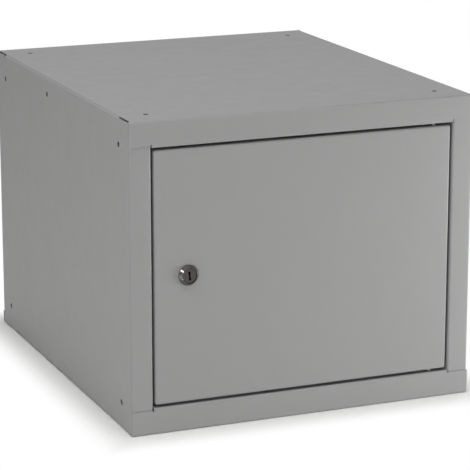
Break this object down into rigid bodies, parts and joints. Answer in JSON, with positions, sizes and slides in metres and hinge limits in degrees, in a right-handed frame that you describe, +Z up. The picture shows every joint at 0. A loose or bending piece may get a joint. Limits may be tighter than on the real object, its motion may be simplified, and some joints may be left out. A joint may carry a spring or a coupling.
{
  "type": "cube locker",
  "caption": "Low steel locker of folded sheet with overlapping top and bottom trays, a flush pivot-hung door and a cam lock; free-standing, stackable and boltable.",
  "frame": {"origin": "centre of the underside, between the left and right sides and between the front and back tray flanges, where the locker rests", "axes": "+Z up, +Y from the front to the back, +X to the right as seen from the front; the door faces -Y"},
  "size_m": [0.41, 0.484, 0.35],
  "materials": {
    "painted_steel": "light grey satin powder coat on folded steel sheet",
    "chrome_plate": "nickel-chrome plated die-cast zinc, polished",
    "zinc_plate": "bright zinc-plated steel",
    "nylon": "natural nylon, moulded",
    "rubber": "black rubber, moulded"
  },
  "bodies": {
    "cabinet": {"top_tray": "painted_steel", "bottom_tray": "painted_steel", "left_side_panel": "painted_steel", "right_side_panel": "painted_steel", "back_panel": "painted_steel", "upper_hinge_pin": "zinc_plate", "lower_hinge_pin": "zinc_plate", "lower_stop_buffer": "rubber", "upper_stop_buffer": "rubber"},
    "door": {"door_pan": "painted_steel", "door_stiffener": "painted_steel", "upper_pivot_plate": "zinc_plate", "lower_pivot_plate": "zinc_plate", "upper_hinge_bush": "nylon", "lower_hinge_bush": "nylon", "lock_body": "chrome_plate", "lock_washer": "zinc_plate", "lock_nut": "zinc_plate"},
    "lock_cylinder": {"lock_plug": "chrome_plate", "lock_cam": "zinc_plate", "cam_washer": "zinc_plate", "cam_screw": "zinc_plate"}
  },
  "joints": [
    {"name": "door_hinge", "type": "hinge", "parent": "cabinet", "child": "door", "pos_m": [0.159, -0.2315, 0.0328], "axis": [0, 0, 1], "range_deg": [0, 110]},
    {"name": "lock_turn", "type": "hinge", "parent": "door", "child": "lock_cylinder", "pos_m": [-0.1385, -0.2387, 0.1765], "axis": [0, 1, 0], "range_deg": [0, 90]}
  ]
}
